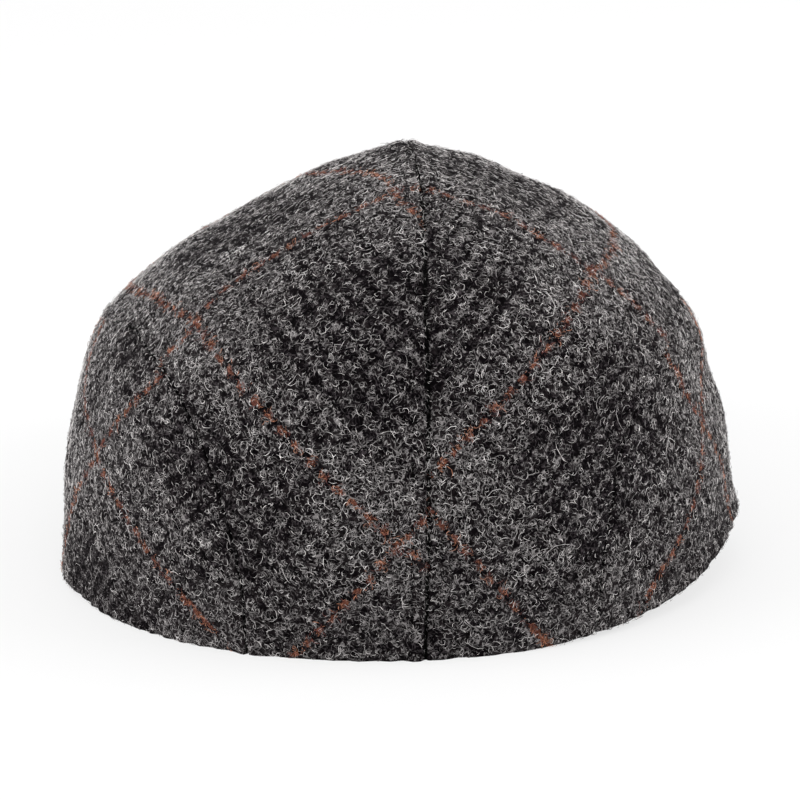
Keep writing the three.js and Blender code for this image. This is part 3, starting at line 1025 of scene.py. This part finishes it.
def rust_on_top(cloth, pitch):
    """Whether a rust yarn is on top within its fibres' reach, at places in millimetres."""
    across_warp, across_weft = cloth.T / pitch
    found = np.zeros(len(cloth), bool)
    warp_ways = (across_warp, across_weft, WARP_REPEAT, 0.0)
    weft_ways = (across_weft, across_warp, WEFT_REPEAT, TWILL_FLOAT)
    for across, along, repeat, top_start in (warp_ways, weft_ways):
        yarn = np.round((across - 0.5) / repeat) * repeat
        beside = np.abs(across - 0.5 - yarn) < 0.5 + RUST_FIBRE_REACH
        run = np.mod(along + yarn - top_start + RUST_FIBRE_REACH, TWILL_REPEAT)
        found |= beside & (run < TWILL_FLOAT + 2 * RUST_FIBRE_REACH)
    return found


class FibreRoots:
    """Where the loose fibres of one wall start, more of them on the light and rust yarns than on the dark."""

    def __init__(self, panel, count, pitch, random):
        points = panel.outer.reshape(*panel.shape, 3)
        normals = panel.normals.reshape(*panel.shape, 3)
        cloth = panel.cloth.reshape(*panel.shape, 2)
        hem_gap = panel.hem_gap.reshape(panel.shape)
        edge_a = points[1:, :-1] - points[:-1, :-1]
        edge_b = points[:-1, 1:] - points[:-1, :-1]
        area = np.linalg.norm(np.cross(edge_a, edge_b), axis=2)
        tries = count * ROOT_TRIES
        cell = random.choice(area.size, tries, p=(area / area.sum()).ravel())
        column, row = np.unravel_index(cell, area.shape)
        a, b = random.random((2, tries, 1))
        place = points[column, row] + edge_a[column, row] * a + edge_b[column, row] * b
        cloth_a = cloth[column + 1, row] - cloth[column, row]
        cloth_b = cloth[column, row + 1] - cloth[column, row]
        cloth_place = cloth[column, row] + cloth_a * a + cloth_b * b
        spread = random.normal(size=(tries, 2))
        on_rust = rust_on_top(cloth_place, pitch)
        rust = rust_on_top(cloth_place + spread * RUST_FIBRE_SPREAD, pitch)
        dark, crossed = dark_on_top(cloth_place + spread * DARK_FIBRE_SPREAD, pitch)
        hem_gap = hem_gap[column, row]
        weight = np.where(on_rust, BESIDE_RUST_SHARE, np.where(dark, DARK_FIBRE_SHARE, 1.0))
        weight = np.where(rust, RUST_FIBRE_SHARE, weight)
        weight = weight * (1 + HEM_FIBRES * np.exp(-((hem_gap / HEM_FIBRES_HEIGHT) ** 2)))
        weight = weight * panel.shows.reshape(panel.shape)[column, row]
        kept = random.choice(tries, count, replace=False, p=weight / weight.sum())
        self.count = count
        self.place = place[kept]
        self.normal = unit(normals[column, row][kept])
        self.rust = rust[kept]
        self.dark = dark[kept]
        # Painted shade darkens the fibres towards the hem; the crossing dim is the check's own darker tone
        # where dark bands cross.
        hem_painted_shade = HEM_PAINTED_SHADE * (1 - ease(hem_gap[kept], 0.0, HEM_PAINTED_SHADE_HEIGHT))
        self.hem_shade_and_crossing_dim = hem_painted_shade + CROSSING_DIM * crossed[kept]


def fibre_paths(roots, layer, length, random):
    """The curled middle lines of the fibres, each lying along the cloth from its root."""
    count = roots.count
    first = unit(np.cross(roots.normal, random.normal(size=(count, 3))))
    second = np.cross(roots.normal, first)
    length = length * layer.length * np.exp(random.normal(0, FIBRE_LENGTH_SPREAD, count))
    length = np.where(roots.rust, length * RUST_FIBRE_LENGTH, length)
    bend = random.choice((-1.0, 1.0), count) * random.uniform(*FIBRE_BEND, count)
    is_loose = random.random(count) < LOOSE_SHARE
    rise = np.where(is_loose, random.uniform(*LOOSE_RISE, count), random.uniform(*LYING_RISE, count))
    rise = rise * layer.lift
    last_rise = rise * random.uniform(*TIP_RISE, count)
    step = (length / (layer.joints - 1))[:, None]
    heading = np.zeros(count)
    path = [roots.place - roots.normal * ROOT_DEPTH]
    for joint in range(1, layer.joints):
        ahead = first * np.cos(heading)[:, None] + second * np.sin(heading)[:, None]
        flat = path[-1] + ahead * step
        share = joint / (layer.joints - 1)
        lift = rise * math.sin(math.pi * share * RISE_ARCH) if joint < layer.joints - 1 else last_rise
        over = ((flat - roots.place) * roots.normal).sum(1)
        path.append(flat + roots.normal * (lift - over)[:, None])
        turn = bend * np.clip(step[:, 0] / FULL_BEND_STEP, *BEND_LIMITS)
        heading = heading + turn + random.normal(0, FIBRE_SWAY, count)
    return np.stack(path, 1)


def fibre_tubes(path, normal, radius):
    """Three-sided strands along the fibres' lines, pointed at both ends: their corners, walls and tips."""
    count, joints = path.shape[:2]
    sides = 3
    rings = joints - 2
    run = unit(np.gradient(path, axis=1))[:, 1:-1]
    beside = unit(np.cross(run, normal[:, None, :]))
    above = np.cross(beside, run)
    turn = np.arange(sides) * 2 * math.pi / sides
    ring = beside[:, :, None, :] * np.cos(turn)[None, None, :, None]
    ring = ring + above[:, :, None, :] * np.sin(turn)[None, None, :, None]
    around = path[:, 1:-1, None, :] + ring * radius[:, None, None, None]
    corners = np.concatenate([around.reshape(count, -1, 3), path[:, :1], path[:, -1:]], 1)
    root = rings * sides
    tip = root + 1
    walls = []
    tips = []
    for side in range(sides):
        beyond = (side + 1) % sides
        last = (rings - 1) * sides
        tips += [(root, beyond, side), (last + side, last + beyond, tip)]
        for here in range(0, last, sides):
            walls.append((here + side, here + beyond, here + sides + beyond, here + sides + side))
    starts = np.arange(count)[:, None, None] * (tip + 1)
    walls = (np.array(walls) + starts).reshape(-1, 4)
    tips = (np.array(tips) + starts).reshape(-1, 3)
    return corners.reshape(-1, 3), walls, tips


def fibre_object(name, panel, layer, share, seed, context):
    """One layer of loose wool fibres on a panel's outer wall, joined in one mesh."""
    sizes, colours = cap_settings(context)
    random = np.random.default_rng(seed)
    count = round(layer.count * share)
    roots = FibreRoots(panel, count, sizes.yarn_pitch / MM, random)
    path = panel.settle(fibre_paths(roots, layer, sizes.fibre_length / MM, random), random)
    radius = sizes.fibre_radius / MM * random.uniform(*FIBRE_RADIUS_SPREAD, count)
    corners, walls, tips = fibre_tubes(path, roots.normal, radius)
    draw = random.random(count)
    wool = draw + roots.hem_shade_and_crossing_dim
    shade = np.where(roots.dark, np.digitize(wool, layer.dark_shades), np.digitize(wool, layer.light_shades))
    is_rust = roots.rust & (random.random(count) < RUST_PURITY)
    rust_wool = draw + RUST_PATCH * soft_waves(roots.place, RUST_PATCH_SEED, RUST_PATCH_LENGTH)
    shade = np.where(is_rust, GREY_SHADES + np.digitize(rust_wool, RUST_SHADES), shade)
    mesh = bpy.data.meshes.new(name)
    mesh.from_pydata((corners * MM).tolist(), [], walls.tolist() + tips.tolist())
    shades = [np.repeat(shade, len(faces) // len(shade)) for faces in (walls, tips)]
    mesh.polygons.foreach_set("material_index", np.concatenate(shades))
    mesh.polygons.foreach_set("use_smooth", np.ones(len(mesh.polygons), bool))
    for material in fibre_materials(colours):
        mesh.materials.append(material)
    return link_object(name, mesh)


def cap_settings(context):
    return context.scene.cap_sizes, context.scene.cap_colours


def fibre_materials(colours):
    shades = ("stray_fibre", "pale_fibre", "grey_fibre", "dim_fibre", "ember_fibre", "rust_fibre")
    return [bpy.data.materials.get(name) or fibre_material(name, getattr(colours, name)) for name in shades]


def add_panel(name, slot, panel, share, seed, context):
    """One panel's cloth and its layers of loose fibres, a smaller panel having a share of a top half's."""
    sizes, colours = cap_settings(context)
    piece = shell_object(f"{name}_tweed", panel)
    weave = f"{slot}_weave"
    piece.data.materials.append(bpy.data.materials.get(weave) or tweed_material(weave, sizes, colours))
    carry(piece, slot, name)
    for layer_name, layer in FIBRE_LAYERS.items():
        nap = fibre_object(f"{name}_{layer_name}_fibres", panel, layer, share, seed, context)
        carry(nap, slot)
        seed += LAYER_SEED_STEP


class FLATCAP_OT_add_tops(bpy.types.Operator):
    """Adds the two halves of the crown's top"""

    bl_idname = "flatcap.add_tops"
    bl_label = "Add top halves"

    def execute(self, context):
        sizes = context.scene.cap_sizes
        places = top_places(TOP_GRID)
        for hand in (LEFT, RIGHT):
            panel = ClothPanel(hand, places, top_cloth(hand, places[0].shape), sizes)
            add_panel(f"top_{HAND_NAMES[hand]}", "top_tweed", panel, TOP_SHARE, TOP_SEED + hand, context)
        return {"FINISHED"}


class FLATCAP_OT_add_sides(bpy.types.Operator):
    """Adds the two side panels below the curved seams"""

    bl_idname = "flatcap.add_sides"
    bl_label = "Add side panels"

    def execute(self, context):
        sizes = context.scene.cap_sizes
        places = side_places(SIDE_GRID)
        for hand in (LEFT, RIGHT):
            panel = ClothPanel(hand, places, side_cloth(hand, places[0].shape), sizes)
            add_panel(f"side_{HAND_NAMES[hand]}", "side_tweed", panel, SIDE_SHARE, SIDE_SEED + hand, context)
        return {"FINISHED"}


class FLATCAP_OT_add_peak(bpy.types.Operator):
    """Adds the short peak under the front hem"""

    bl_idname = "flatcap.add_peak"
    bl_label = "Add peak"

    def execute(self, context):
        add_panel("peak", "peak_tweed", PeakPanel(context.scene.cap_sizes), PEAK_SHARE, PEAK_SEED, context)
        return {"FINISHED"}


class FLATCAP_OT_set_stage(bpy.types.Operator):
    """Adds the floor, the soft studio light and the camera"""

    bl_idname = "flatcap.set_stage"
    bl_label = "Set stage"

    def execute(self, context):
        add_floor()
        add_light()
        add_camera()
        context.scene.view_settings.view_transform = "Standard"
        return {"FINISHED"}


def add_floor():
    bm = bmesh.new()
    bmesh.ops.create_grid(bm, x_segments=1, y_segments=1, size=FLOOR_HALF_SIZE)
    floor = add_object("studio_floor", bm)
    desk = NodeDesk("studio_white")
    shader = desk.node("ShaderNodeBsdfPrincipled", {
        "Base Color": opaque([FLOOR_SHADE] * 3), "Roughness": 0.9, "Specular IOR Level": 0.1,
        "Emission Color": WHITE, "Emission Strength": FLOOR_GLOW})
    floor.data.materials.append(desk.finish(shader))


def add_light():
    world = bpy.data.worlds.new("studio_light")
    world.use_nodes = True
    backdrop = world.node_tree.nodes["Background"]
    backdrop.inputs["Color"].default_value = WHITE
    backdrop.inputs["Strength"].default_value = WORLD_LIGHT
    bpy.context.scene.world = world
    for name, place, watts in STUDIO_LIGHTS:
        softbox = bpy.data.lights.new(name, "AREA")
        softbox.shape = "SQUARE"
        softbox.size = SOFTBOX_SIZE
        softbox.energy = watts
        lamp = link_object(name, softbox)
        away = Vector(place)
        lamp.matrix_world = Matrix.Translation(away) @ away.to_track_quat("Z", "Y").to_matrix().to_4x4()


def camera_matrix():
    azimuth = math.radians(CAMERA_AZIMUTH)
    elevation = math.radians(CAMERA_ELEVATION)
    roll = math.radians(CAMERA_ROLL)
    flat = math.cos(elevation)
    back = Vector((math.sin(azimuth) * flat, -math.cos(azimuth) * flat, math.sin(elevation)))
    level_right = Vector((math.cos(azimuth), math.sin(azimuth), 0))
    level_up = back.cross(level_right)
    right = level_right * math.cos(roll) + level_up * math.sin(roll)
    up = level_up * math.cos(roll) - level_right * math.sin(roll)
    place = Vector(CAMERA_TARGET_MM) * MM + back * CAMERA_DISTANCE
    return Matrix.Translation(place) @ Matrix((right, up, back)).transposed().to_4x4()


def add_camera():
    data = bpy.data.cameras.new("camera")
    data.lens = CAMERA_LENS
    data.sensor_width = CAMERA_SENSOR
    data.clip_end = CAMERA_FAR
    camera = link_object("camera", data)
    camera.matrix_world = camera_matrix()
    bpy.context.scene.camera = camera


class FLATCAP_PT_pieces(bpy.types.Panel):
    """Lists the cap's sizes, colours and pieces"""

    bl_idname = "FLATCAP_PT_pieces"
    bl_label = "Flat cap"
    bl_space_type = "VIEW_3D"
    bl_region_type = "UI"
    bl_category = "Flat cap"

    def draw(self, context):
        for settings in cap_settings(context):
            box = self.layout.box()
            for name in settings.__annotations__:
                box.prop(settings, name)
        for operator in OPERATORS:
            self.layout.operator(operator.bl_idname)


OPERATORS = (FLATCAP_OT_set_stage, FLATCAP_OT_add_tops, FLATCAP_OT_add_sides, FLATCAP_OT_add_peak)
CLASSES = (CapSizes, CapColours, *OPERATORS, FLATCAP_PT_pieces)


def register():
    for cls in CLASSES:
        bpy.utils.register_class(cls)
    bpy.types.Scene.cap_sizes = bpy.props.PointerProperty(type=CapSizes)
    bpy.types.Scene.cap_colours = bpy.props.PointerProperty(type=CapColours)


def unregister():
    del bpy.types.Scene.cap_colours
    del bpy.types.Scene.cap_sizes
    for cls in reversed(CLASSES):
        bpy.utils.unregister_class(cls)


def main():
    register()
    bpy.ops.flatcap.set_stage()
    bpy.ops.flatcap.add_tops()
    bpy.ops.flatcap.add_sides()
    bpy.ops.flatcap.add_peak()


if __name__ == "__main__":
    main()
